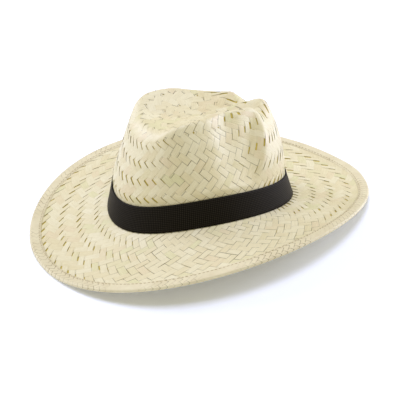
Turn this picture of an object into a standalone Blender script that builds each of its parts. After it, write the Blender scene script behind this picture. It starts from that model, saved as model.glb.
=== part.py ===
"""A woven straw hat with a teardrop crown, a curled brim and a ribbon band.

Metres, +Z up. The front of the hat points along +X and the floor is z = 0.
"""
import bpy
import bmesh
import math

# Walls and clearances
straw_wall = 0.0020
ribbon_thickness = 0.0010
seat_gap = 0.0003

# Head opening, measured on the outside of the crown at the brim break
head_half_length = 0.1040
head_half_width = 0.0828
head_centre_x = -0.0010
head_squareness = 1.95
back_fullness = 0.13
break_side_height = 0.0350
break_end_dip = 0.0204
break_forward_tilt = 0.0068
break_shoulder = 0.0066

# Crown
crown_height = 0.0965
crown_forward_tilt = 0.0075
top_front_reach = 0.0785
top_back_reach = 0.0635
top_squareness = 2.5
top_dish = 0.0080
top_centre_x = -0.0210
wall_start = 0.10
dent_slant = 18

# Ribbon band
ribbon_height = 0.0280
ribbon_lean = 0.0074

# Brim and its folded edge
brim_half_length = 0.1935
brim_half_width = 0.1570
brim_side_lift = 0.0265
brim_lift_power = 1.6
brim_flat_share = 0.17
brim_flare = 1.6
hem_width = 0.0115
hem_thickness = 0.0040

# Facets
sides = 72
wall_rings = 12
roll_rings = 3
top_rings = 5
brim_rings = 7

# Half widths of the top, from its back end (0) to its front end (1)
top_width_full = 0.0600
top_widths = [
    {"along": 0.00, "width": 1.12},
    {"along": 0.12, "width": 0.98},
    {"along": 0.25, "width": 0.84},
    {"along": 0.40, "width": 0.72},
    {"along": 0.55, "width": 0.54},
    {"along": 0.70, "width": 0.53},
    {"along": 0.85, "width": 0.43},
    {"along": 1.00, "width": 0.34},
]

# The crown's wall round one side, by the angle from the front in degrees.
# bulge over 1 keeps the wall upright and under 1 dents it in, roll is the radius
# at the ridge and rise lifts or lowers it, as shares of ridge_roll and ridge_rise.
ridge_roll = 0.0220
ridge_rise = 0.0040
wall_rows = [
    {"angle": 0, "bulge": 2.00, "roll": 0.50, "rise": 0.0},
    {"angle": 30, "bulge": 2.15, "roll": 0.75, "rise": -2.0},
    {"angle": 47, "bulge": 2.85, "roll": 0.45, "rise": -0.7},
    {"angle": 55, "bulge": 1.15, "roll": 0.22, "rise": 0.1},
    {"angle": 72, "bulge": 0.85, "roll": 0.18, "rise": 0.0},
    {"angle": 95, "bulge": 0.95, "roll": 0.18, "rise": 1.4},
    {"angle": 120, "bulge": 1.08, "roll": 0.22, "rise": 0.9},
    {"angle": 138, "bulge": 1.05, "roll": 0.40, "rise": -0.2},
    {"angle": 155, "bulge": 1.10, "roll": 0.65, "rise": -1.9},
    {"angle": 180, "bulge": 1.05, "roll": 1.00, "rise": -1.8},
]


def signed_power(value, power):
    return math.copysign(abs(value) ** power, value)


def superellipse(angle, half_x, half_y, squareness):
    power = 2 / squareness
    return (half_x * signed_power(math.cos(angle), power),
            half_y * signed_power(math.sin(angle), power))


def table_value(rows, key, place, column):
    """Read a table's column at a place between its rows, along a smooth curve."""
    last = len(rows) - 1
    i = 0
    while i < last - 1 and place > rows[i + 1][key]:
        i += 1

    def slope(k):
        before, after = rows[max(k - 1, 0)], rows[min(k + 1, last)]
        return (after[column] - before[column]) / (after[key] - before[key])

    low, high = rows[i], rows[i + 1]
    step = high[key] - low[key]
    t = min(max((place - low[key]) / step, 0.0), 1.0)
    return (low[column] * (1 + 2 * t) * (1 - t) ** 2 + high[column] * (3 - 2 * t) * t ** 2
            + slope(i) * step * t * (1 - t) ** 2 - slope(i + 1) * step * t ** 2 * (1 - t))


def wall_value(angle, column, slant=0.0):
    turned = abs(math.degrees(math.remainder(angle, 2 * math.pi)))
    return table_value(wall_rows, "angle", turned - slant, column)


def blend(first, second, share):
    return tuple(a + (b - a) * share for a, b in zip(first, second))


def egg(angle):
    """The hat is fuller at the back than at the front."""
    return 1 - back_fullness * math.cos(angle)


def head_oval(angle, grow=0.0, shrink=0.0):
    """The crown's outline at the brim break, grown by a distance or shrunk by a share."""
    x, y = superellipse(angle, head_half_length + grow, head_half_width + grow, head_squareness)
    return x * (1 - shrink) + head_centre_x, y * egg(angle) * (1 - shrink)


def break_height(angle):
    """The brim break is a saddle: high at the sides and low at the ends."""
    along, across = math.cos(angle), math.sin(angle)
    return (break_side_height - break_end_dip * along ** 2 - break_forward_tilt * along
            - break_shoulder * along * across ** 2)


def ridge_point(angle):
    """The corner of the teardrop top, before it is rolled."""
    middle = head_centre_x + (top_front_reach - top_back_reach) / 2
    reach = (top_front_reach + top_back_reach) / 2
    x, across = superellipse(angle, reach, 1, top_squareness)
    along = (x + reach) / (2 * reach)
    y = across * top_width_full * table_value(top_widths, "along", along, "width")
    z = (break_side_height + crown_height - crown_forward_tilt * math.cos(angle)
         + ridge_rise * wall_value(angle, "rise"))
    return x + middle, y, z


def wall_point(angle, up, grow=0.0):
    """A point on the crown's wall, from the brim break (0) to the ridge (1)."""
    foot = break_height(angle)
    ridge = ridge_point(angle)
    band_share = ribbon_height / (ridge[2] - foot)
    z = foot + (ridge[2] - foot) * up
    lean_share = ribbon_lean / head_half_length
    if up <= band_share:
        return head_oval(angle, grow, lean_share * up / band_share) + (z,)
    rest = (up - band_share) / (1 - band_share)
    band_top = head_oval(angle, grow, lean_share)
    bulge = wall_value(angle, "bulge", dent_slant * (1 - rest))
    share = max(0.0, (rest - wall_start) / (1 - wall_start)) ** bulge
    return blend(band_top, ridge[:2], share) + (z,)


def top_point(angle, out):
    """A point on the dished top, from its middle (0) to the ridge (1)."""
    ridge = ridge_point(angle)
    middle = (top_centre_x, 0.0, break_side_height + crown_height)
    x, y, z = blend(middle, ridge, out)
    return x, y, z - top_dish * (1 - out ** 2)


def crown_profile(angle):
    """The crown's outside in one direction, from its foot to the last ring of the top."""
    foot = head_oval(angle) + (break_height(angle) - straw_wall,)
    ridge = ridge_point(angle)
    roll = ridge_roll * wall_value(angle, "roll")
    wall_end = 1 - roll / (ridge[2] - break_height(angle))
    top_end = 1 - roll / math.hypot(ridge[0] - top_centre_x, ridge[1])
    band_share = ribbon_height / (ridge[2] - break_height(angle))
    above_band = wall_end - band_share
    points = [foot, wall_point(angle, 0)]
    points += [wall_point(angle, band_share + above_band * i / wall_rings)
               for i in range(wall_rings + 1)]
    start, end = points[-1], top_point(angle, top_end)
    for i in range(1, roll_rings + 1):
        share = i / roll_rings
        points.append(blend(blend(start, ridge, share), blend(ridge, end, share), share))
    points += [top_point(angle, top_end * (1 - i / top_rings)) for i in range(1, top_rings)]
    return points


def brim_edge(angle, inset=0.0):
    """The brim's outline, or a line a little inside it."""
    x, y = superellipse(angle, brim_half_length - inset, brim_half_width - inset, 2)
    return x, y * egg(angle)


def edge_height(angle):
    """The middle of the folded edge: flat where the hat rests, lifted along the sides."""
    across = abs(math.sin(angle))
    lift = max(0.0, (across - brim_flat_share) / (1 - brim_flat_share))
    return hem_thickness / 2 + brim_side_lift * lift ** brim_lift_power


def brim_point(angle, out):
    """A point on the brim's upper face, from the crown (0) to the folded edge (1)."""
    inner = head_oval(angle, seat_gap)
    outer = brim_edge(angle, hem_width + seat_gap)
    top = edge_height(angle) + straw_wall / 2
    z = top + (break_height(angle) - top) * (1 - out) ** brim_flare
    return blend(inner, outer, out) + (z,)


def angles():
    return [2 * math.pi * i / sides for i in range(sides)]


def material(name, color, roughness):
    made = bpy.data.materials.new(name)
    made.use_nodes = True
    shader = made.node_tree.nodes["Principled BSDF"]
    shader.inputs["Base Color"].default_value = (*color, 1)
    shader.inputs["Roughness"].default_value = roughness
    shader.inputs["Metallic"].default_value = 0
    return made


def finish(name, mesh_data, made_material, sharp_degrees=35):
    bmesh.ops.recalc_face_normals(mesh_data, faces=mesh_data.faces)
    mesh = bpy.data.meshes.new(name)
    mesh_data.to_mesh(mesh)
    mesh_data.free()
    mesh.materials.append(made_material)
    mesh.shade_smooth()
    mesh.set_sharp_from_angle(angle=math.radians(sharp_degrees))
    thing = bpy.data.objects.new(name, mesh)
    bpy.context.scene.collection.objects.link(thing)
    return thing


def add_rings(mesh_data, rings):
    return [[mesh_data.verts.new(point) for point in ring] for ring in rings]


def skin_between(mesh_data, first, second):
    count = len(first)
    for i in range(count):
        j = (i + 1) % count
        mesh_data.faces.new((first[i], first[j], second[j], second[i]))


def close_top(mesh_data, ring, point):
    tip = mesh_data.verts.new(point)
    for i, corner in enumerate(ring):
        mesh_data.faces.new((corner, ring[(i + 1) % len(ring)], tip))
    return tip


def looped_solid(name, section, made_material):
    """A ring-shaped solid whose cross-section at each angle is a closed loop of points."""
    mesh_data = bmesh.new()
    columns = [section(angle) for angle in angles()]
    rings = add_rings(mesh_data, zip(*columns))
    for i, ring in enumerate(rings):
        skin_between(mesh_data, ring, rings[(i + 1) % len(rings)])
    return finish(name, mesh_data, made_material)


def make_crown(straw):
    """One straw shell: its outside is drawn, then its inside is set back by the wall."""
    mesh_data = bmesh.new()
    outside = add_rings(mesh_data, zip(*[crown_profile(angle) for angle in angles()]))
    for low, high in zip(outside, outside[1:]):
        skin_between(mesh_data, low, high)
    tip = close_top(mesh_data, outside[-1], top_point(0.0, 0.0))
    bmesh.ops.recalc_face_normals(mesh_data, faces=mesh_data.faces)
    mesh_data.normal_update()
    outward = 1 if tip.normal.z > 0 else -1
    tip_inside = tip.co - tip.normal * straw_wall * outward
    inside = []
    for ring in outside:
        inside.append([corner.co - corner.normal * straw_wall * outward for corner in ring])
    for low, corner in zip(inside[0], outside[0]):
        low.z = corner.co.z
    inside = add_rings(mesh_data, inside)
    for low, high in zip(inside, inside[1:]):
        skin_between(mesh_data, low, high)
    close_top(mesh_data, inside[-1], tip_inside)
    skin_between(mesh_data, outside[0], inside[0])
    return finish("crown", mesh_data, straw)


def make_brim(straw):
    def section(angle):
        top = [brim_point(angle, i / brim_rings) for i in range(brim_rings + 1)]
        return top + [(x, y, z - straw_wall) for x, y, z in reversed(top)]

    return looped_solid("brim", section, straw)


def make_brim_hem(straw):
    """The folded edge lies level all round, thick as two layers of straw, with round lips."""
    chamfer = hem_thickness * 0.3

    def section(angle):
        middle = edge_height(angle)
        half = hem_thickness / 2
        outline = [(hem_width, half - chamfer), (hem_width - chamfer, half), (chamfer, half),
                   (0.0, half - chamfer), (0.0, chamfer - half), (chamfer, -half),
                   (hem_width - chamfer, -half), (hem_width, chamfer - half)]
        return [brim_edge(angle, inset) + (middle + up,) for inset, up in outline]

    return looped_solid("brim_hem", section, straw)


def make_hatband(ribbon):
    """The ribbon follows the crown's wall from just above the brim to its own height."""
    def section(angle):
        height = ridge_point(angle)[2] - break_height(angle)
        low, high = seat_gap / height, ribbon_height / height
        inner = seat_gap
        outer = seat_gap + ribbon_thickness
        return [wall_point(angle, low, inner), wall_point(angle, high, inner),
                wall_point(angle, high, outer), wall_point(angle, low, outer)]

    return looped_solid("hatband", section, ribbon)


def main():
    for thing in list(bpy.data.objects):
        bpy.data.objects.remove(thing, do_unlink=True)
    straw = material("straw", (0.74, 0.66, 0.47), 0.6)
    edge_straw = material("edge_straw", (0.68, 0.58, 0.40), 0.65)
    ribbon = material("ribbon", (0.012, 0.011, 0.010), 0.8)
    make_crown(straw)
    make_brim(straw)
    make_brim_hem(edge_straw)
    make_hatband(ribbon)


main()
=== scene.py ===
import math
import random
from functools import partial

import bpy
import bmesh
import numpy as np
from mathutils import Matrix, Vector


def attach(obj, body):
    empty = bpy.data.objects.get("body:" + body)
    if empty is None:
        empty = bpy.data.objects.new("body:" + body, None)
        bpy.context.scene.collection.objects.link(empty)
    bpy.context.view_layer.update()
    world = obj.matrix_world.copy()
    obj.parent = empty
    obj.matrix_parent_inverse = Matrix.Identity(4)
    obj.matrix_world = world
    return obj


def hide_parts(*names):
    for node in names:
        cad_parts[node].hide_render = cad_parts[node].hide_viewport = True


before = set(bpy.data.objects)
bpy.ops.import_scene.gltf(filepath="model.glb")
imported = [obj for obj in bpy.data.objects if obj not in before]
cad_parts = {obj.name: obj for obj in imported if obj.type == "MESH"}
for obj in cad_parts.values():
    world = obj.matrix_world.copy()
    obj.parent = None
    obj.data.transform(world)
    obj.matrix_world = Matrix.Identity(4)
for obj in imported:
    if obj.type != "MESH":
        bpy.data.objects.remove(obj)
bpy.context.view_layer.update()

print("frame loaded:", sorted(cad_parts))


# The hat's form, in metres. Front is +X, the wearer's left is +Y.
hatForm = {
    "strawWall": 0.0020,
    "seatGap": 0.0003,
    "headHalfLength": 0.1040,      # outside of the crown at the brim break
    "headHalfWidth": 0.0828,
    "headCentreX": -0.0010,
    "headSquareness": 1.95,
    "backFullness": 0.13,          # how much wider the back is than the front
    "breakSideHeight": 0.0350,     # the brim break is high at the sides
    "breakEndDip": 0.0204,
    "breakForwardTilt": 0.0068,
    "breakShoulder": 0.0066,
    "crownHeight": 0.0965,
    "crownForwardTilt": 0.0075,
    "topFrontReach": 0.0785,
    "topBackReach": 0.0635,
    "topSquareness": 2.5,
    "topDish": 0.0080,
    "topCentreX": -0.0210,
    "topWidthFull": 0.0600,
    "wallStart": 0.10,             # share of the wall above the ribbon that still stands straight
    "dentSlant": 18,               # degrees that the dents move forward, from ribbon to ridge
    "ridgeRoll": 0.0220,
    "ridgeRise": 0.0040,
    "ribbonHeight": 0.0280,
    "ribbonThickness": 0.0010,
    "ribbonLean": 0.0074,
    "brimHalfLength": 0.1935,
    "brimHalfWidth": 0.1570,
    "brimSideLift": 0.0265,
    "brimLiftPower": 1.6,
    "brimFlatShare": 0.17,
    "brimFlare": 1.6,
    "brimReach": 1.04,             # the weave runs on a little way into the hem
    "hemWidth": 0.0115,
    "hemThickness": 0.0040,
}

# Half widths of the top, from its back end (0) to its front end (1)
topWidths = [
    {"along": 0.00, "width": 1.12},
    {"along": 0.12, "width": 0.98},
    {"along": 0.25, "width": 0.84},
    {"along": 0.40, "width": 0.72},
    {"along": 0.55, "width": 0.54},
    {"along": 0.70, "width": 0.53},
    {"along": 0.85, "width": 0.43},
    {"along": 1.00, "width": 0.34},
]

# The crown's wall by the angle from the front, the same on both sides
wallRows = [
    {"angle": 0, "bulge": 2.00, "roll": 0.50, "rise": 0.0},
    {"angle": 30, "bulge": 2.15, "roll": 0.75, "rise": -2.0},
    {"angle": 47, "bulge": 2.85, "roll": 0.45, "rise": -0.7},
    {"angle": 55, "bulge": 1.15, "roll": 0.22, "rise": 0.1},
    {"angle": 72, "bulge": 0.85, "roll": 0.18, "rise": 0.0},
    {"angle": 95, "bulge": 0.95, "roll": 0.18, "rise": 1.4},
    {"angle": 120, "bulge": 1.08, "roll": 0.22, "rise": 0.9},
    {"angle": 138, "bulge": 1.05, "roll": 0.40, "rise": -0.2},
    {"angle": 155, "bulge": 1.10, "roll": 0.65, "rise": -1.9},
    {"angle": 180, "bulge": 1.05, "roll": 1.00, "rise": -1.8},
]

profileSteps = {"top": 20, "roll": 8, "wall": 36, "brim": 32}


def tableValue(rows, key, place, column):
    # A smooth curve through a table's rows
    last = len(rows) - 1
    i = 0
    while i < last - 1 and place > rows[i + 1][key]:
        i += 1

    def slope(k):
        before, after = rows[max(k - 1, 0)], rows[min(k + 1, last)]
        return (after[column] - before[column]) / (after[key] - before[key])

    low, high = rows[i], rows[i + 1]
    step = high[key] - low[key]
    t = min(max((place - low[key]) / step, 0.0), 1.0)
    return (low[column] * (1 + 2 * t) * (1 - t) ** 2 + high[column] * (3 - 2 * t) * t ** 2
            + slope(i) * step * t * (1 - t) ** 2 - slope(i + 1) * step * t ** 2 * (1 - t))


def wallValue(angle, column, slant=0.0):
    turned = abs(math.degrees(math.remainder(angle, 2 * math.pi)))
    return tableValue(wallRows, "angle", turned - slant, column)


def blendPoints(first, second, share):
    return tuple(a + (b - a) * share for a, b in zip(first, second))


def superellipse(angle, halfX, halfY, squareness):
    power = 2 / squareness
    along, across = math.cos(angle), math.sin(angle)
    return (halfX * math.copysign(abs(along) ** power, along),
            halfY * math.copysign(abs(across) ** power, across))


def fullness(angle):
    return 1 - hatForm["backFullness"] * math.cos(angle)


def headOval(angle, grow=0.0, shrink=0.0):
    x, y = superellipse(angle, hatForm["headHalfLength"] + grow,
                        hatForm["headHalfWidth"] + grow, hatForm["headSquareness"])
    return x * (1 - shrink) + hatForm["headCentreX"], y * fullness(angle) * (1 - shrink)


def breakHeight(angle):
    along, across = math.cos(angle), math.sin(angle)
    return (hatForm["breakSideHeight"] - hatForm["breakEndDip"] * along ** 2
            - hatForm["breakForwardTilt"] * along - hatForm["breakShoulder"] * along * across ** 2)


def ridgePoint(angle):
    front, back = hatForm["topFrontReach"], hatForm["topBackReach"]
    reach = (front + back) / 2
    x, across = superellipse(angle, reach, 1, hatForm["topSquareness"])
    along = (x + reach) / (2 * reach)
    y = across * hatForm["topWidthFull"] * tableValue(topWidths, "along", along, "width")
    z = (hatForm["breakSideHeight"] + hatForm["crownHeight"]
         - hatForm["crownForwardTilt"] * math.cos(angle)
         + hatForm["ridgeRise"] * wallValue(angle, "rise"))
    return x + hatForm["headCentreX"] + (front - back) / 2, y, z


def wallPoint(angle, up, grow=0.0):
    # Straight behind the ribbon, then curved in to the ridge
    foot, ridge = breakHeight(angle), ridgePoint(angle)
    bandShare = hatForm["ribbonHeight"] / (ridge[2] - foot)
    z = foot + (ridge[2] - foot) * up
    leanShare = hatForm["ribbonLean"] / hatForm["headHalfLength"]
    if up <= bandShare:
        return headOval(angle, grow, leanShare * up / bandShare) + (z,)
    rest = (up - bandShare) / (1 - bandShare)
    bandTop = headOval(angle, grow, leanShare)
    bulge = wallValue(angle, "bulge", hatForm["dentSlant"] * (1 - rest))
    start = hatForm["wallStart"]
    share = max(0.0, (rest - start) / (1 - start)) ** bulge
    return blendPoints(bandTop, ridge[:2], share) + (z,)


def topPoint(angle, out):
    middle = (hatForm["topCentreX"], 0.0, hatForm["breakSideHeight"] + hatForm["crownHeight"])
    x, y, z = blendPoints(middle, ridgePoint(angle), out)
    return x, y, z - hatForm["topDish"] * (1 - out ** 2)


def crownProfile(angle):
    # From the middle of the top, over the rolled ridge and down the wall to the brim break
    ridge = ridgePoint(angle)
    roll = hatForm["ridgeRoll"] * wallValue(angle, "roll")
    wallEnd = 1 - roll / (ridge[2] - breakHeight(angle))
    topEnd = 1 - roll / math.hypot(ridge[0] - hatForm["topCentreX"], ridge[1])
    onTop, onRoll, onWall = (profileSteps[stretch] for stretch in ("top", "roll", "wall"))
    points = [topPoint(angle, topEnd * i / onTop) for i in range(onTop + 1)]
    start, end = points[-1], wallPoint(angle, wallEnd)
    for i in range(1, onRoll + 1):
        share = i / onRoll
        before, after = blendPoints(start, ridge, share), blendPoints(ridge, end, share)
        points.append(blendPoints(before, after, share))
    points += [wallPoint(angle, wallEnd * (1 - i / onWall)) for i in range(1, onWall + 1)]
    return points


def brimEdge(angle, inset=0.0):
    x, y = superellipse(angle, hatForm["brimHalfLength"] - inset, hatForm["brimHalfWidth"] - inset, 2)
    return x, y * fullness(angle)


def edgeHeight(angle):
    flat = hatForm["brimFlatShare"]
    lift = max(0.0, (abs(math.sin(angle)) - flat) / (1 - flat))
    return hatForm["hemThickness"] / 2 + hatForm["brimSideLift"] * lift ** hatForm["brimLiftPower"]


def brimPoint(angle, out):
    inner = headOval(angle, hatForm["seatGap"])
    outer = brimEdge(angle, hatForm["hemWidth"] + hatForm["seatGap"])
    top = edgeHeight(angle) + hatForm["strawWall"] / 2
    fall = max(0.0, 1 - out) ** hatForm["brimFlare"]
    return blendPoints(inner, outer, out) + (top + (breakHeight(angle) - top) * fall,)


def brimProfile(angle):
    steps = profileSteps["brim"]
    return [brimPoint(angle, hatForm["brimReach"] * i / steps) for i in range(steps + 1)]


def evenPoints(path, count, closed):
    # Points the same distance apart along a path
    length = np.concatenate([[0], np.cumsum(np.linalg.norm(np.diff(path, axis=0), axis=1))])
    if length[-1] < 1e-6:
        return np.repeat(path[:1], count, axis=0)
    places = np.linspace(0, length[-1], count, endpoint=not closed)
    return np.stack([np.interp(places, length, path[:, k]) for k in range(3)], -1)


def evenSheet(profile, rowCount, pointCount, directions=360):
    # A grid of points: each row runs round the hat at one share of the profile's length
    columns = [evenPoints(np.array(profile(2 * math.pi * i / directions)), rowCount, False)
               for i in range(directions)]
    rings = np.array(columns).transpose(1, 0, 2)
    return np.array([evenPoints(np.concatenate([ring, ring[:1]]), pointCount, True) for ring in rings])


def sheetNormals(sheet):
    around = np.roll(sheet, -1, 1) - np.roll(sheet, 1, 1)
    outward = np.gradient(sheet, axis=0)
    normal = np.cross(outward, around)
    size = np.linalg.norm(normal, axis=2, keepdims=True)
    normal = np.where(size > 1e-12, normal / np.maximum(size, 1e-12), [0, 0, 1.0])
    if size[0].max() < 1e-9:       # the first row is one point
        normal[0] = normal[1].mean(0) / np.linalg.norm(normal[1].mean(0))
    return normal


def addObject(name, data):
    thing = bpy.data.objects.new(name, data)
    bpy.context.scene.collection.objects.link(thing)
    return thing


def dropObjects(*things):
    for thing in things:
        bpy.data.objects.remove(thing, do_unlink=True)


def sheetObject(name, sheet, normals):
    # The grid as a mesh, with its place round and along the hat in a UV map
    rowCount, pointCount, _ = sheet.shape
    points = np.concatenate([sheet, sheet[:, :1]], 1).reshape(-1, 3)
    arrows = np.concatenate([normals, normals[:, :1]], 1).reshape(-1, 3)
    wide = pointCount + 1
    faces = [(r * wide + c, (r + 1) * wide + c, (r + 1) * wide + c + 1, r * wide + c + 1)
             for r in range(rowCount - 1) for c in range(pointCount)]
    mesh = bpy.data.meshes.new(name)
    mesh.from_pydata(points.tolist(), [], faces)
    corners = np.zeros(len(mesh.loops), np.int32)
    mesh.loops.foreach_get("vertex_index", corners)
    uv = np.stack([(corners % wide) / pointCount, (corners // wide) / (rowCount - 1)], -1)
    mesh.uv_layers.new(name="hatPlace").data.foreach_set("uv", uv.astype(np.float32).ravel())
    outward = mesh.attributes.new("outward", "FLOAT_VECTOR", "POINT")
    outward.data.foreach_set("vector", arrows.astype(np.float32).ravel())
    return addObject(name, mesh)


# Small helpers for node trees
def setInputs(tree, node, values):
    # Each value is a plain one or the socket of another node
    for label, value in values.items():
        if isinstance(value, bpy.types.NodeSocket):
            tree.links.new(value, node.inputs[label])
        else:
            node.inputs[label].default_value = value


def addNode(tree, kind, inputs=None, **settings):
    node = tree.nodes.new(kind)
    for key, value in settings.items():
        setattr(node, key, value)
    setInputs(tree, node, inputs or {})
    return node


def newTree(name, kind, inputs, outputs):
    # Returns the tree, the sockets that it is given and the sockets of its result
    tree = bpy.data.node_groups.new(name, kind)
    for direction, sockets in (("INPUT", inputs), ("OUTPUT", outputs)):
        for label, socketType in sockets.items():
            tree.interface.new_socket(label, in_out=direction, socket_type="NodeSocket" + socketType)
    return tree, addNode(tree, "NodeGroupInput").outputs, addNode(tree, "NodeGroupOutput").inputs


def mathNode(tree, operation, *values, clamp=False):
    node = addNode(tree, "ShaderNodeMath", dict(enumerate(values)), operation=operation, use_clamp=clamp)
    return node.outputs[0]


def namedAttribute(tree, name, kind="FLOAT"):
    return addNode(tree, "GeometryNodeInputNamedAttribute", {"Name": name}, data_type=kind).outputs[0]


def storeAttribute(tree, geometry, name, value, kind="FLOAT"):
    node = addNode(tree, "GeometryNodeStoreNamedAttribute",
                   {"Geometry": geometry, "Name": name, "Value": value}, data_type=kind, domain="POINT")
    return node.outputs["Geometry"]


def bakedPiece(name, source, tree, values):
    # Run a tree on an object and keep the result as a plain mesh
    modifier = source.modifiers.new("build", "NODES")
    modifier.node_group = tree
    for item in tree.interface.items_tree:
        if item.item_type == "SOCKET" and item.in_out == "INPUT" and item.name in values:
            modifier[item.identifier] = values[item.name]
    bpy.context.view_layer.update()
    graph = bpy.context.evaluated_depsgraph_get()
    mesh = bpy.data.meshes.new_from_object(source.evaluated_get(graph))
    mesh.name = name
    source.modifiers.remove(modifier)
    return addObject(name, mesh)


# Woven straw: every visible stretch of a strip is a small crowned cell that leans one way or
# the other, and its ends dive under the cells of the rows beside it.
weave = {
    "cellsAlong": 10,              # faces along one cell
    "cellsAcross": 6,
    "gather": 1.10,                # how strongly they gather near its sides
    "stripReach": 1.26,            # half the length of a cell, in strip widths
    "stripShare": 1.03,            # how much of its own width a strip fills
    "lift": 0.00050,               # height of a strip's middle over its sheet
    "dive": 0.00040,               # how far its ends drop
    "divePower": 3.0,
    "crowning": 0.00006,
    "skirt": 0.00036,              # how far its edges reach down
    "jitter": 0.02,
    "unevenness": 0.00005,         # how far strips stand higher or lower than others
    "tilt": 0.00012,               # how far one edge of a strip stands higher than the other
    "firstPlace": 0.25,            # rows start at the wearer's left side
    "slitFade": 0.2,               # how soon slits are fully open, as a share of the half length
    "slitSpread": (0.3, 1.5),
    "tightening": 0.3,             # how much wider other strips are there, in slits
    "closedOverlap": 0.10,         # how much wider strips are in rows without slits
    "slitShare": 0.45,             # share of other strips with a slit beside them
    "straySlit": (0.02, 0.08),
    "plainBand": 0.95,             # how much of its painted seam shade a row between slits loses there
    "plainEnds": 0.90,             # how much of the painted shade at their ends all strips lose there
    "outerDepth": 0.0006,          # the two faces' sheets, below the hat's outer surface
    "innerDepth": 0.0014,
    "coreGap": 0.0002,             # between those sheets and the core
    "mergeWithin": 0.00001,
    "seed": 7,
}

# A cell's sizes as inputs of the node trees
cellSizes = {"Lift": "lift", "Dive": "dive", "Crowning": "crowning", "Skirt": "skirt", "Reach": "stripReach"}


def cellTree():
    tree, given, result = newTree(
        "strawCells", "GeometryNodeTree",
        {"Centres": "Geometry", "Sheet": "Geometry", **dict.fromkeys(cellSizes, "Float"),
         "Material": "Material"}, {"Cells": "Geometry"})
    calc, fetch = partial(mathNode, tree), partial(namedAttribute, tree)
    position = addNode(tree, "GeometryNodeInputPosition").outputs[0]
    grid = addNode(tree, "GeometryNodeMeshGrid", {
        "Size X": 2, "Vertices X": weave["cellsAlong"] + 1,
        "Size Y": 2, "Vertices Y": weave["cellsAcross"] + 1})
    place = addNode(tree, "ShaderNodeSeparateXYZ", {0: position}).outputs
    patch = storeAttribute(tree, grid.outputs["Mesh"], "strawAlong", place["X"])
    # Points across a strip gather near its edges, and the last ones make a narrow side
    gathered = calc("MULTIPLY", calc("SINE", calc("MULTIPLY", place["Y"], math.pi / 2)), weave["gather"])
    gathered = calc("MAXIMUM", calc("MINIMUM", gathered, 1.0), -1.0)
    patch = storeAttribute(tree, patch, "strawAcross", gathered)
    patch = storeAttribute(tree, patch, "strawEdge", place["Y"])
    centres = storeAttribute(tree, given["Centres"], "cellCentre", position, "FLOAT_VECTOR")
    copies = addNode(tree, "GeometryNodeInstanceOnPoints", {"Points": centres, "Instance": patch})
    real = addNode(tree, "GeometryNodeRealizeInstances", {0: copies.outputs[0]})

    # Places in strip widths, turned by the cell's lean into places round and along the hat
    along = calc("MULTIPLY", fetch("strawAlong"), given["Reach"])
    across = calc("MULTIPLY", fetch("strawAcross"), calc("MULTIPLY", fetch("stripShare"), 0.5))
    sideways = calc("MULTIPLY", calc("SUBTRACT", along, across), calc("MULTIPLY", fetch("lean"), 0.5))
    outwards = calc("MULTIPLY", calc("ADD", along, across), 0.5)
    centre = addNode(tree, "ShaderNodeSeparateXYZ", {0: fetch("cellCentre", "FLOAT_VECTOR")}).outputs
    u = calc("ADD", centre["X"], calc("MULTIPLY", sideways, fetch("pitch")))
    v = calc("ADD", centre["Y"], calc("MULTIPLY", outwards, fetch("rowShare")))
    u = calc("FRACT", calc("ADD", u, 1.0))
    v = calc("MAXIMUM", calc("MINIMUM", v, 0.9995), 0.0005)      # just inside the sheet
    spot = addNode(tree, "ShaderNodeCombineXYZ", {"X": u, "Y": v}).outputs[0]

    def sampled(value):
        node = addNode(tree, "GeometryNodeSampleUVSurface", {
            "Mesh": given["Sheet"], "Value": value, "Sample UV": spot,
            "Source UV Map": fetch("hatPlace", "FLOAT_VECTOR")}, data_type="FLOAT_VECTOR")
        return node.outputs["Value"]

    onSheet, arrow = sampled(position), sampled(fetch("outward", "FLOAT_VECTOR"))
    endward = calc("POWER", calc("ABSOLUTE", fetch("strawAlong")), weave["divePower"])
    sideward = calc("POWER", calc("ABSOLUTE", fetch("strawAcross")), 2.0)
    onEdge = calc("GREATER_THAN", calc("ABSOLUTE", fetch("strawEdge")), 0.99)
    height = given["Lift"]
    for share, drop in ((endward, "Dive"), (sideward, "Crowning"), (onEdge, "Skirt")):
        height = calc("SUBTRACT", height, calc("MULTIPLY", share, given[drop]))
    height = calc("ADD", height, fetch("raised"))
    height = calc("ADD", height, calc("MULTIPLY", fetch("strawAcross"), fetch("tilt")))
    offset = addNode(tree, "ShaderNodeVectorMath", {0: arrow, "Scale": height}, operation="SCALE")
    total = addNode(tree, "ShaderNodeVectorMath", {0: onSheet, 1: offset.outputs[0]}, operation="ADD")
    moved = addNode(tree, "GeometryNodeSetPosition", {
        "Geometry": real.outputs[0], "Position": total.outputs[0]})
    smooth = addNode(tree, "GeometryNodeSetShadeSmooth", {"Geometry": moved.outputs[0]})
    # The crease where a strip's narrow sides begin
    creaseAt = 1 - 2 / weave["cellsAcross"]
    fromCrease = calc("ABSOLUTE", calc("SUBTRACT", calc("ABSOLUTE", fetch("strawEdge")), creaseAt))
    creased = addNode(tree, "GeometryNodeSetShadeSmooth", {
        "Geometry": smooth.outputs[0], "Selection": calc("LESS_THAN", fromCrease, 0.02),
        "Shade Smooth": False}, domain="EDGE")
    finish = addNode(tree, "GeometryNodeSetMaterial", {
        "Geometry": creased.outputs[0], "Material": given["Material"]})
    tree.links.new(finish.outputs[0], result["Cells"])
    return tree


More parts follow.
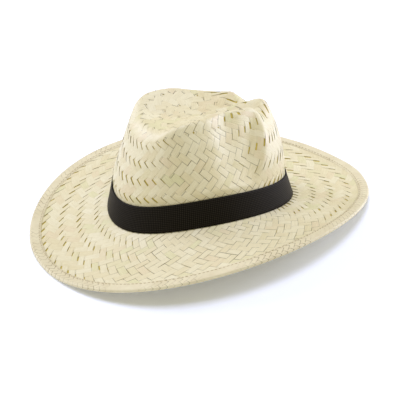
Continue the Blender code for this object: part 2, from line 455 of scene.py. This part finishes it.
def wovenTree(cells):
    # Outer cells, inner cells and the core, as one piece
    tree, given, result = newTree(
        "wovenPiece", "GeometryNodeTree",
        {"Outer Centres": "Geometry", "Inner Centres": "Object", "Outer Sheet": "Object",
         "Inner Sheet": "Object", "Core": "Object", **dict.fromkeys(cellSizes, "Float"),
         "Straw": "Material", "Shade": "Material"}, {"Piece": "Geometry"})

    def fromObject(socket):
        node = addNode(tree, "GeometryNodeObjectInfo", {"Object": given[socket]}, transform_space="ORIGINAL")
        return node.outputs["Geometry"]

    together = addNode(tree, "GeometryNodeJoinGeometry")
    sides = ((given["Outer Centres"], fromObject("Outer Sheet")),
             (fromObject("Inner Centres"), fromObject("Inner Sheet")))
    for centres, sheet in sides:
        group = addNode(tree, "GeometryNodeGroup", {
            "Centres": centres, "Sheet": sheet, "Material": given["Straw"],
            **{label: given[label] for label in cellSizes}}, node_tree=cells)
        tree.links.new(group.outputs["Cells"], together.inputs[0])
    core = addNode(tree, "GeometryNodeSetMaterial", {
        "Geometry": fromObject("Core"), "Material": given["Shade"]})
    tree.links.new(core.outputs[0], together.inputs[0])
    real = addNode(tree, "GeometryNodeRealizeInstances", {0: together.outputs[0]})
    tree.links.new(real.outputs[0], result["Piece"])
    return tree


def meshObject(name, work):
    bmesh.ops.recalc_face_normals(work, faces=work.faces)
    mesh = bpy.data.meshes.new(name)
    work.to_mesh(mesh)
    work.free()
    mesh.shade_smooth()
    return addObject(name, mesh)


def coreObject(name, sheet, normals, size):
    # The hidden middle of the weave, seen as olive slits between the strips; its darker colour is partly
    # painted shade of the straw beneath them
    along, around = size
    rows = np.linspace(0, sheet.shape[0] - 1, along).round().astype(int)
    points = np.linspace(0, sheet.shape[1], around, endpoint=False).round().astype(int)
    grid, arrows = sheet[rows][:, points], normals[rows][:, points]
    work = bmesh.new()
    outer, inner = ([[work.verts.new(p) for p in row] for row in grid - arrows * depth] for depth in
                    (weave["outerDepth"] + weave["coreGap"], weave["innerDepth"] - weave["coreGap"]))
    bands = [*zip(outer, outer[1:]), *zip(inner, inner[1:]), (inner[0], outer[0]), (outer[-1], inner[-1])]
    for first, second in bands:
        for i in range(around):
            j = (i + 1) % around
            work.faces.new((first[i], second[i], second[j], first[j]))
    bmesh.ops.remove_doubles(work, verts=work.verts, dist=weave["mergeWithin"])
    bmesh.ops.dissolve_degenerate(work, edges=work.edges, dist=weave["mergeWithin"])
    return meshObject(name, work)


def centresObject(name, plan, mirrored, dice):
    # One point for each cell, at its place round and along the hat. Odd rows are shifted by half
    # a cell, and slits open towards the front and the back.
    wobble, rowShare = weave["jitter"], 1 / len(plan["rows"])
    points, facts = [], []
    for r, count in enumerate(plan["rows"]):
        lean = plan["firstLean"] * (-1) ** r
        closed = r < plan["closedRows"]
        phase = 0.5 * (r % 2)
        for c in range(count):
            u = weave["firstPlace"] + (c + phase + dice.uniform(-wobble, wobble)) / count
            v = (r + 0.5 + dice.uniform(-wobble, wobble)) * rowShare
            forward, leftward = math.cos(2 * math.pi * u), math.sin(2 * math.pi * u)
            end = plan["front" if forward > 0 else "back"]
            beyond = abs(forward) - end["left" if leftward > 0 else "right"]
            towardsEnd = 0.0 if closed else min(1.0, max(0.0, beyond) / weave["slitFade"])
            opened = lean == end["lean"]
            slit = end["slitDepth"] * towardsEnd * dice.uniform(*weave["slitSpread"])
            slit *= 1 if opened else -weave["tightening"]
            if closed:
                slit -= weave["closedOverlap"]
            elif dice.random() < weave["slitShare"] * (1 - towardsEnd):
                slit += dice.uniform(*weave["straySlit"])
            plain = 0 if opened else weave["plainBand"] * towardsEnd
            points.append((u % 1, v, 0))
            facts.append({
                "lean": -lean if mirrored else lean,
                "pitch": 1 / count,
                "rowShare": rowShare,
                "sideShadeShare": 1 - plain,
                "endShadeShare": 1 - weave["plainEnds"] * towardsEnd,
                "strawTint": dice.random(),
                "strawMark": dice.random(),
                "raised": dice.uniform(-weave["unevenness"], weave["unevenness"]) * (1 - plain),
                "tilt": dice.uniform(-weave["tilt"], weave["tilt"]) * (1 - plain),
                "stripShare": weave["stripShare"] - slit,
            })
    mesh = bpy.data.meshes.new(name)
    mesh.from_pydata(points, [], [])
    for label in facts[0]:
        values = np.array([fact[label] for fact in facts], np.float32)
        mesh.attributes.new(label, "FLOAT", "POINT").data.foreach_set("value", values)
    return addObject(name, mesh)


def wovenPiece(name, profile, plan, tree, straw, shade):
    dice = random.Random(weave["seed"] + len(plan["rows"]))
    sheet = evenSheet(profile, *plan["sheet"])
    normals = sheetNormals(sheet)
    sources = {
        "Outer Sheet": sheetObject(name + "_outer", sheet - normals * weave["outerDepth"], normals),
        "Inner Sheet": sheetObject(name + "_inner", sheet - normals * weave["innerDepth"], -normals),
        "Core": coreObject(name + "_core", sheet, normals, plan["core"]),
    }
    outer = centresObject(name + "_outer_cells", plan, False, dice)
    sources["Inner Centres"] = centresObject(name + "_inner_cells", plan, True, dice)
    sizes = {label: weave[key] for label, key in cellSizes.items()}
    piece = bakedPiece(name, outer, tree, {**sources, **sizes, "Straw": straw, "Shade": shade})
    dropObjects(outer, *sources.values())
    piece.data.calc_loop_triangles()
    print(name, "woven from", 2 * sum(plan["rows"]), "cells,", len(piece.data.loop_triangles), "triangles")
    return piece


# Helpers for materials
def newMaterial(name):
    made = bpy.data.materials.new(name)
    made.use_nodes = True
    return made, made.node_tree, made.node_tree.nodes["Principled BSDF"]


def plainMaterial(name, color, roughness, glow=(0, 0, 0), glowStrength=0.0):
    made, tree, shader = newMaterial(name)
    setInputs(tree, shader, {"Base Color": (*color, 1), "Roughness": roughness,
                             "Emission Color": (*glow, 1), "Emission Strength": glowStrength})
    return made


def shaderAttribute(tree, name):
    return addNode(tree, "ShaderNodeAttribute", attribute_name=name).outputs["Fac"]


def noiseNode(tree, place, scale, detail, roughness=0.5):
    return addNode(tree, "ShaderNodeTexNoise", {
        "Vector": place, "Scale": scale, "Detail": detail, "Roughness": roughness}).outputs[0]


def colorRamp(tree, value, stops):
    node = addNode(tree, "ShaderNodeValToRGB", {0: value})
    while len(node.color_ramp.elements) < len(stops):
        node.color_ramp.elements.new(0.5)
    for element, (position, color) in zip(node.color_ramp.elements, stops):
        element.position = position
        element.color = (*color, 1)
    return node.outputs[0]


def smoothStep(tree, value, low, high):
    node = addNode(tree, "ShaderNodeMapRange", {"Value": value, "From Min": low, "From Max": high},
                   interpolation_type="SMOOTHSTEP")
    return node.outputs["Result"]


def mixColors(tree, share, first, second, mode="MIX"):
    first, second = ((*color, 1) if isinstance(color, tuple) else color for color in (first, second))
    node = addNode(tree, "ShaderNodeMix", {"Factor": share, "A": first, "B": second},
                   data_type="RGBA", blend_type=mode)
    return next(o for o in node.outputs if o.type == "RGBA")


def bumpNode(tree, height, strength, distance, invert=False):
    return addNode(tree, "ShaderNodeBump", {
        "Strength": strength, "Distance": distance, "Height": height}, invert=invert).outputs[0]


# Straw
strawLook = {
    "cream": (0.77, 0.69, 0.44),
    "pale": (0.82, 0.76, 0.53),
    "green": (0.74, 0.70, 0.42),
    "tan": (0.77, 0.67, 0.44),
    "streak": (0.80, 0.76, 0.66),  # the straw's colour is multiplied by it
    "streakShare": 0.75,
    # line is the colour of painted shade in the seams, where strips dive under each other and along their
    # narrow sides
    "line": (0.085, 0.065, 0.022),
    "endShadeFade": (0.01, 0.055),      # where the painted shade at a strip's end fades, in half cells
    "sideShadeStart": (0.68, 0.84),      # where the painted shade at its sides begins, in half widths
    "faintest": 0.38,              # the weakest painted seam shade, and how much stronger others are
    "darkening": 0.6,
    "roughness": 0.46,
    "fibreBump": 0.35,
    "fibreHeight": 0.0003,
    "fibreStretch": (1.1, 9.0, 40.0),
    # The core's colours, darker than the strips: partly painted shade of the straw seen through the slits
    "slit": (0.44, 0.33, 0.04),
    "deep": (0.66, 0.52, 0.11),
    "slitRoughness": 0.8,
    "slitPatches": 260.0,
}


def fibreGroup():
    # Fine fibres along a straw strip, as a mask
    tree, given, result = newTree("strawFibre", "ShaderNodeTree",
                                  {"Along": "Float", "Across": "Float", "Shift": "Float"}, {"Fibre": "Float"})
    stretched = {axis: mathNode(tree, "MULTIPLY", given[label], stretch) for axis, label, stretch
                 in zip("XYZ", ("Along", "Across", "Shift"), strawLook["fibreStretch"])}
    place = addNode(tree, "ShaderNodeCombineXYZ", stretched)
    tree.links.new(noiseNode(tree, place.outputs[0], 1.0, 4.0, 0.6), result["Fibre"])
    return tree


def strawMaterial():
    made, tree, shader = newMaterial("wovenStraw")
    calc, fetch = partial(mathNode, tree), partial(shaderAttribute, tree)
    along, mark = fetch("strawAlong"), fetch("strawMark")
    fibres = addNode(tree, "ShaderNodeGroup", {"Along": along, "Across": fetch("strawAcross"), "Shift": mark},
                     node_tree=fibreGroup()).outputs["Fibre"]
    base = colorRamp(tree, fetch("strawTint"), [
        (0.0, strawLook["tan"]), (0.12, strawLook["cream"]), (0.55, strawLook["pale"]),
        (0.86, strawLook["cream"]), (1.0, strawLook["green"])])
    streaks = colorRamp(tree, fibres, [(0.30, strawLook["streak"]), (0.62, (1.0, 1.0, 1.0))])
    base = mixColors(tree, strawLook["streakShare"], base, streaks, "MULTIPLY")
    # Painted shade in the seams: a dark line where a strip dives under the next one, and along its narrow
    # sides
    fromDive = calc("SUBTRACT", calc("ABSOLUTE", along), 1 / weave["stripReach"])
    ends = calc("SUBTRACT", 1.0, smoothStep(tree, calc("ABSOLUTE", fromDive), *strawLook["endShadeFade"]))
    sides = smoothStep(tree, calc("ABSOLUTE", fetch("strawEdge")), *strawLook["sideShadeStart"])
    seamShade = calc("MAXIMUM", calc("MULTIPLY", ends, fetch("endShadeShare")),
                 calc("MULTIPLY", sides, fetch("sideShadeShare")))
    strength = calc("ADD", calc("MULTIPLY", mark, strawLook["darkening"]), strawLook["faintest"])
    base = mixColors(tree, calc("MULTIPLY", seamShade, strength), base, strawLook["line"])
    setInputs(tree, shader, {
        "Base Color": base, "Roughness": strawLook["roughness"],
        "Normal": bumpNode(tree, fibres, strawLook["fibreBump"], strawLook["fibreHeight"])})
    return made


def slitMaterial():
    made, tree, shader = newMaterial("strawShade")
    place = addNode(tree, "ShaderNodeTexCoord").outputs["Object"]
    patches = noiseNode(tree, place, strawLook["slitPatches"], 3.0)
    color = colorRamp(tree, patches, [(0.3, strawLook["slit"]), (0.7, strawLook["deep"])])
    setInputs(tree, shader, {"Base Color": color, "Roughness": strawLook["slitRoughness"]})
    return made


straw, shade = strawMaterial(), slitMaterial()
woven = wovenTree(cellTree())

# Rows run from the middle of the top down to the brim break. Each end of the hat has the lean of
# the strips with slits, how near the end slits start on the wearer's left and right, as a share
# of the half length, and how much narrower the strips are there.
crownPlan = {
    "rows": [8, 8, 22, 22, 36, 36, 48, 48, 50, 50, 52, 52, 54, 54, 56, 56],
    "sheet": (97, 288),            # points along and round
    "core": (60, 144),
    "firstLean": 1,
    "closedRows": 5,               # rows of the top without slits
    "front": {"lean": -1, "left": 0.40, "right": 0.40, "slitDepth": 0.30},
    "back": {"lean": 1, "left": 0.50, "right": 0.62, "slitDepth": 0.21},
}
crownWeave = wovenPiece("crown_weave", crownProfile, crownPlan, woven, straw, shade)

# Rows run from the brim break out to the hem
brimPlan = {
    "rows": [78] * 8,
    "sheet": (65, 432),
    "core": (20, 144),
    "firstLean": -1,
    "closedRows": 0,
    "front": {"lean": -1, "left": 0.25, "right": 0.50, "slitDepth": 0.26},
    "back": {"lean": 1, "left": 0.25, "right": 0.78, "slitDepth": 0.21},
}
brimWeave = wovenPiece("brim_weave", brimProfile, brimPlan, woven, straw, shade)


def ringMesh(name, section, count):
    # A closed ring whose cross-section is a loop of points. Its UV map tells the place round the
    # hat, and along the loop by length.
    columns = [section(2 * math.pi * i / count) for i in range(count)]
    loops = len(columns[0])
    sides = [math.dist(columns[0][k], columns[0][(k + 1) % loops]) for k in range(loops)]
    along = [sum(sides[:k]) / sum(sides) for k in range(loops + 1)]
    work = bmesh.new()
    grid = [[work.verts.new(p) for p in column] for column in columns]
    places = work.loops.layers.uv.new("ringPlace")
    for i in range(count):
        j = (i + 1) % count
        for k in range(loops):
            m = (k + 1) % loops
            face = work.faces.new((grid[i][k], grid[j][k], grid[j][m], grid[i][m]))
            for loop, place in zip(face.loops, ((i, k), (i + 1, k), (i + 1, k + 1), (i, k + 1))):
                loop[places].uv = (place[0] / count, along[place[1]])
    return meshObject(name, work)


def ringPlace(tree):
    # Place round the hat as X, and along the loop of the cross-section as Y
    place = addNode(tree, "ShaderNodeUVMap", uv_map="ringPlace")
    return addNode(tree, "ShaderNodeSeparateXYZ", {0: place.outputs[0]}).outputs


# Folded edge
hemLook = {
    "color": (0.75, 0.68, 0.45),
    "dull": (0.68, 0.60, 0.38),
    "warm": (0.74, 0.65, 0.44),
    "warmShare": 0.35,
    "line": (0.20, 0.14, 0.04),
    "lineShare": 0.75,
    "lineWidth": 0.08,             # in marks
    "lineHeight": 0.0003,
    "lineBump": 0.5,
    "roughness": 0.6,
    "mottling": 70.0,
    "patches": 24.0,               # patches with and without dark lines
    "patchEdges": (0.42, 0.64),
    "middle": 0.81,                # where the top's middle is, as a share of the way round the fold
    "rows": 6.5,                   # marks along the loop of the fold
    "marks": 224,                  # marks round the hat
    "fold": 1.21,                  # half the width of the top, in marks
    "lean": 0.785,
    "pointsRound": 320,
    "widthWave": 0.00045,
    "sagWave": 0.00015,
    "edgeRound": 0.9,              # how far in the outer edge's round reaches, in half thicknesses
    "edgeSteps": 8,
    "lipStart": 0.0006,            # how far the fold's inner lip reaches over the brim
    "lipReach": 0.0007,
    "lipHeight": 0.80,
    "lipSteps": 4,
    "thread": (0.40, 0.30, 0.12),
    "threadRoughness": 0.6,
    "stitchStep": 0.0042,
    "stitchLength": 0.0030,
    "stitchRadius": 0.00024,
    "stitchInset": 0.0104,
    "stitchHeight": 0.46,          # from the fold's middle, as a share of its thickness
    "seamPoints": 480,
}

# The fold's flat faces, from the outer edge in, as shares of its width and half thickness
hemFace = [
    {"inset": 0.40, "up": 0.98, "sag": 0},
    {"inset": 0.70, "up": 0.93, "sag": 1},
    {"inset": 0.86, "up": 0.88, "sag": 0},
]

# A folded edge is never quite even
hemWaves = [
    {"turns": 7, "shift": 1.1, "share": 1.0},
    {"turns": 17, "shift": 0.4, "share": 0.7},
    {"turns": 31, "shift": 0.0, "share": 0.5},
]


def hemWave(angle, height):
    total = sum(wave["share"] * math.sin(wave["turns"] * angle + wave["shift"]) for wave in hemWaves)
    return height * total / sum(wave["share"] for wave in hemWaves)


def hemSection(angle):
    middle, half = edgeHeight(angle), hatForm["hemThickness"] / 2
    width = hatForm["hemWidth"] + hemWave(angle, hemLook["widthWave"])
    sag = hemWave(angle + 0.5, hemLook["sagWave"])
    edgeTurns, lipTurns = ([math.pi * i / steps for i in range(steps + 1)]
                           for steps in (hemLook["edgeSteps"], hemLook["lipSteps"]))
    outline = [(half * hemLook["edgeRound"] * (1 - math.sin(turn)), half * math.cos(turn))
               for turn in edgeTurns]
    outline += [(width * row["inset"], -half * row["up"]) for row in hemFace]
    outline += [(width + hemLook["lipStart"] + hemLook["lipReach"] * math.sin(turn),
                 -half * hemLook["lipHeight"] * math.cos(turn)) for turn in lipTurns]
    outline += [(width * row["inset"], half * row["up"] + sag * row["sag"]) for row in reversed(hemFace)]
    return [brimEdge(angle, inset) + (middle + up,) for inset, up in outline]


def fineWeave():
    # Thin lines of a fine weave that runs askew, as a mask, and a tint for each of its strips
    tree, given, result = newTree("fineWeave", "ShaderNodeTree",
                                  {"Place": "Vector", "Turn": "Float", "Line": "Float"},
                                  {"Line": "Float", "Tint": "Float"})
    turned = addNode(tree, "ShaderNodeVectorRotate", {"Vector": given["Place"], "Angle": given["Turn"]},
                     rotation_type="Z_AXIS")
    bricks = addNode(tree, "ShaderNodeTexBrick", {
        "Vector": turned.outputs[0], "Scale": 1.0, "Brick Width": 2.0, "Row Height": 1.0,
        "Mortar Size": given["Line"], "Mortar Smooth": 0.6, "Color1": (0, 0, 0, 1),
        "Color2": (1, 1, 1, 1), "Mortar": (0.5, 0.5, 0.5, 1)}, offset=0.5)
    tree.links.new(bricks.outputs["Fac"], result["Line"])
    tree.links.new(bricks.outputs["Color"], result["Tint"])
    return tree


def hemMaterial():
    made, tree, shader = newMaterial("foldedStraw")
    calc, place = partial(mathNode, tree), ringPlace(tree)
    # The marks lean one way on the inner half of the fold and the other way on the outer half
    folded = calc("MULTIPLY", calc("SUBTRACT", place["Y"], hemLook["middle"]), hemLook["rows"])
    spot = addNode(tree, "ShaderNodeCombineXYZ", {
        "X": calc("MULTIPLY", place["X"], hemLook["marks"]), "Y": calc("PINGPONG", folded, hemLook["fold"])})
    marks = addNode(tree, "ShaderNodeGroup", {
        "Place": spot.outputs[0], "Turn": hemLook["lean"], "Line": hemLook["lineWidth"]},
        node_tree=fineWeave()).outputs
    where = addNode(tree, "ShaderNodeTexCoord").outputs["Object"]
    color = colorRamp(tree, noiseNode(tree, where, hemLook["mottling"], 6.0),
                      [(0.34, hemLook["dull"]), (0.62, hemLook["color"])])
    color = mixColors(tree, calc("MULTIPLY", marks["Tint"], hemLook["warmShare"]), color, hemLook["warm"])
    patches = smoothStep(tree, noiseNode(tree, where, hemLook["patches"], 3.0), *hemLook["patchEdges"])
    lines = calc("MULTIPLY", marks["Line"], calc("MULTIPLY", patches, hemLook["lineShare"]))
    setInputs(tree, shader, {
        "Base Color": mixColors(tree, lines, color, hemLook["line"]), "Roughness": hemLook["roughness"],
        "Normal": bumpNode(tree, marks["Line"], hemLook["lineBump"], hemLook["lineHeight"], invert=True)})
    return made


def stitchTree():
    # Stitches along a line, each a small smooth bead of thread
    tree, given, result = newTree(
        "stitches", "GeometryNodeTree",
        {"Seam": "Geometry", "Step": "Float", "Length": "Float", "Radius": "Float", "Material": "Material"},
        {"Stitches": "Geometry"})
    curve = addNode(tree, "GeometryNodeMeshToCurve", {0: given["Seam"]})
    spread = addNode(tree, "GeometryNodeCurveToPoints", {
        "Curve": curve.outputs[0], "Length": given["Step"]}, mode="LENGTH")
    bead = addNode(tree, "GeometryNodeMeshUVSphere", {"Segments": 8, "Rings": 6, "Radius": 1.0})
    size = addNode(tree, "ShaderNodeCombineXYZ", {
        "X": given["Radius"], "Y": given["Radius"], "Z": mathNode(tree, "MULTIPLY", given["Length"], 0.5)})
    copies = addNode(tree, "GeometryNodeInstanceOnPoints", {
        "Points": spread.outputs["Points"], "Instance": bead.outputs["Mesh"],
        "Rotation": spread.outputs["Rotation"], "Scale": size.outputs[0]})
    real = addNode(tree, "GeometryNodeRealizeInstances", {0: copies.outputs[0]})
    smooth = addNode(tree, "GeometryNodeSetShadeSmooth", {"Geometry": real.outputs[0]})
    finish = addNode(tree, "GeometryNodeSetMaterial", {
        "Geometry": smooth.outputs[0], "Material": given["Material"]})
    tree.links.new(finish.outputs[0], result["Stitches"])
    return tree


def stitchedSeam(name, thread):
    # One row of stitches on each face of the folded edge
    count, height = hemLook["seamPoints"], hatForm["hemThickness"] * hemLook["stitchHeight"]
    points, edges = [], []
    for side in (1, -1):
        first = len(points)
        for i in range(count):
            angle = 2 * math.pi * i / count
            x, y = brimEdge(angle, hemLook["stitchInset"])
            points.append((x, y, edgeHeight(angle) + side * height))
            edges.append((first + i, first + (i + 1) % count))
    mesh = bpy.data.meshes.new(name + "_line")
    mesh.from_pydata(points, edges, [])
    line = addObject(name + "_line", mesh)
    seam = bakedPiece(name, line, stitchTree(), {
        "Step": hemLook["stitchStep"], "Length": hemLook["stitchLength"],
        "Radius": hemLook["stitchRadius"], "Material": thread})
    dropObjects(line)
    return seam


hem = ringMesh("folded_hem", hemSection, hemLook["pointsRound"])
hem.data.materials.append(hemMaterial())
thread = plainMaterial("seamThread", hemLook["thread"], hemLook["threadRoughness"])
stitches = stitchedSeam("hem_stitches", thread)
print("hem folded and sewn:", len(hem.data.polygons), "and", len(stitches.data.polygons), "faces")


# Ribbon
ribbonLook = {
    "color": (0.0008, 0.0008, 0.0008),
    "rib": (0.0330, 0.0290, 0.0240),
    "ribsRound": 150,
    "ribsAcross": 15,
    "ribSharpness": 2.5,
    "ribBump": 0.3,
    "ribHeight": 0.0002,
    "roughness": 0.62,
    "shine": 0.10,
    "shineTint": (1.0, 0.80, 0.50),
    "sheen": 0.07,
    "sheenRoughness": 0.35,
    "sheenTint": (1.0, 0.86, 0.62),
    "clearance": 0.0002,           # beyond the solid ribbon's gap to the crown
    "thicknessShare": 0.9,
    "selvedge": 0.0002,            # how far its two edges stand out
    "stepsUp": 12,
    "pointsRound": 320,
    "lengthAt": 0.12,              # where its length is measured, as a share of the crown's height
}


def ribbonSection(angle):
    height, steps = ridgePoint(angle)[2] - breakHeight(angle), ribbonLook["stepsUp"]
    low, high = hatForm["seatGap"] / height, hatForm["ribbonHeight"] / height
    inner = hatForm["seatGap"] + ribbonLook["clearance"]
    outer = inner + hatForm["ribbonThickness"] * ribbonLook["thicknessShare"]
    face, back = [], []
    for i in range(steps + 1):
        up = low + (high - low) * (i / steps)
        face.append(wallPoint(angle, up, outer + (ribbonLook["selvedge"] if i in (0, steps) else 0)))
        back.append(wallPoint(angle, up, inner))
    return face + back[::-1]


def ribbonMaterial():
    made, tree, shader = newMaterial("darkRibbon")
    calc, place = partial(mathNode, tree), ringPlace(tree)
    around = calc("MULTIPLY", place["X"], ribbonLook["ribsRound"])
    across = calc("MULTIPLY", place["Y"], ribbonLook["ribsAcross"])
    # Two crossing sets of ribs leave the small raised points of a twill
    first, second = (calc("SINE", calc("MULTIPLY", calc(side, around, across), 2 * math.pi))
                     for side in ("ADD", "SUBTRACT"))
    twill = calc("ADD", calc("MULTIPLY", calc("MULTIPLY", first, second), 0.5), 0.5, clamp=True)
    points = calc("POWER", twill, ribbonLook["ribSharpness"])
    setInputs(tree, shader, {
        "Base Color": mixColors(tree, points, ribbonLook["color"], ribbonLook["rib"]),
        "Roughness": ribbonLook["roughness"],
        "Specular IOR Level": ribbonLook["shine"],
        "Specular Tint": (*ribbonLook["shineTint"], 1),
        "Sheen Weight": ribbonLook["sheen"],
        "Sheen Roughness": ribbonLook["sheenRoughness"],
        "Sheen Tint": (*ribbonLook["sheenTint"], 1),
        "Normal": bumpNode(tree, twill, ribbonLook["ribBump"], ribbonLook["ribHeight"])})
    return made


def ribbonLength():
    count = ribbonLook["pointsRound"]
    loop = [wallPoint(2 * math.pi * i / count, ribbonLook["lengthAt"], hatForm["ribbonThickness"])
            for i in range(count)]
    return sum(math.dist(loop[i - 1], loop[i]) for i in range(count))


ribbon = ringMesh("ribbon_loop", ribbonSection, ribbonLook["pointsRound"])
ribbon.data.materials.append(ribbonMaterial())
loopLength = ribbonLength()
print("ribbon round the crown:", round(loopLength, 4), "m")

for piece, node, slotName in ((crownWeave, "crown", "straw"), (brimWeave, "brim", "straw"),
                              (hem, "brim_hem", "edge_straw"), (ribbon, "hatband", "ribbon")):
    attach(piece, "root")
    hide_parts(node)
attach(stitches, "root")


# Floor, light and camera
studio = {
    "floorHalf": 6,
    "floorColor": (0.88, 0.91, 0.97),
    "floorRoughness": 0.9,
    "floorGlow": 0.12,             # lifts the hat's shadow, as a lit table does
    "glowColor": (0.95, 0.98, 1.10),
    "worldColor": (1.0, 0.93, 0.52),
    "worldStrength": 0.45,
    "lightColor": (0.95, 1.0, 1.40),
}

lamps = [
    {"name": "back_left", "place": (-1.4, 1.6, 1.2), "aimHeight": 0.05, "size": 1.1, "power": 25},
    {"name": "right", "place": (1.6, -0.05, 0.36), "aimHeight": 0.08, "size": 0.7, "power": 15},
    {"name": "overhead", "place": (0.1, -0.05, 1.9), "aimHeight": 0.0, "size": 1.0, "power": 17},
    {"name": "left", "place": (-1.5, -0.5, 0.4), "aimHeight": 0.08, "size": 0.7, "power": 2},
]


def makeFloor():
    half = studio["floorHalf"]
    mesh = bpy.data.meshes.new("studio_floor")
    corners = [(-half, -half, 0), (half, -half, 0), (half, half, 0), (-half, half, 0)]
    mesh.from_pydata(corners, [], [(0, 1, 2, 3)])
    mesh.materials.append(plainMaterial("studioFloor", studio["floorColor"], studio["floorRoughness"],
                                        studio["glowColor"], studio["floorGlow"]))
    return addObject("studio_floor", mesh)


def makeWorld():
    world = bpy.data.worlds.new("studio")
    bpy.context.scene.world = world
    world.use_nodes = True
    background = world.node_tree.nodes["Background"]
    setInputs(world.node_tree, background, {
        "Color": (*studio["worldColor"], 1), "Strength": studio["worldStrength"]})


def softLight(name, place, aimHeight, size, power):
    data = bpy.data.lights.new(name, "AREA")
    data.size = size
    data.energy = power
    data.color = studio["lightColor"]
    light = addObject(name, data)
    light.location = place
    light.rotation_euler = (Vector((0, 0, aimHeight)) - Vector(place)).to_track_quat("-Z", "Y").to_euler()


view = {
    "turn": 22.0,                  # degrees from the side of the hat towards its back
    "elevation": 29.1,
    "roll": 3.6,
    "distance": 1.182,
    "target": (-0.001, 0, 0.052),
    "targetPixel": (200.7, 172.0),
    "framePixels": 400,
    "focalPixels": 1091.4,         # focal length in pixels of that frame
    "sensor": 36,
    "clip": (0.05, 30),
}


def makeCamera():
    turn, rise = math.radians(view["turn"]), math.radians(view["elevation"])
    toCamera = Vector((-math.sin(turn) * math.cos(rise), -math.cos(turn) * math.cos(rise), math.sin(rise)))
    data = bpy.data.cameras.new("camera")
    data.sensor_width = view["sensor"]
    data.lens = view["focalPixels"] * view["sensor"] / view["framePixels"]
    data.clip_start, data.clip_end = view["clip"]
    look = (-toCamera).to_track_quat("-Z", "Y").to_matrix().to_4x4()
    look = look @ Matrix.Rotation(math.radians(-view["roll"]), 4, "Z")
    across, down = ((pixel - view["framePixels"] / 2) / view["focalPixels"] for pixel in view["targetPixel"])
    look = look @ Matrix.Rotation(math.atan(across), 4, "Y") @ Matrix.Rotation(math.atan(down), 4, "X")
    camera = addObject("camera", data)
    camera.matrix_world = Matrix.Translation(Vector(view["target"]) + toCamera * view["distance"]) @ look
    bpy.context.scene.camera = camera


floor = makeFloor()
bpy.context.scene.view_settings.view_transform = "Standard"
makeWorld()
for lamp in lamps:
    softLight(**lamp)
makeCamera()
bpy.context.view_layer.update()
print("floor,", len(lamps), "lamps and camera set")
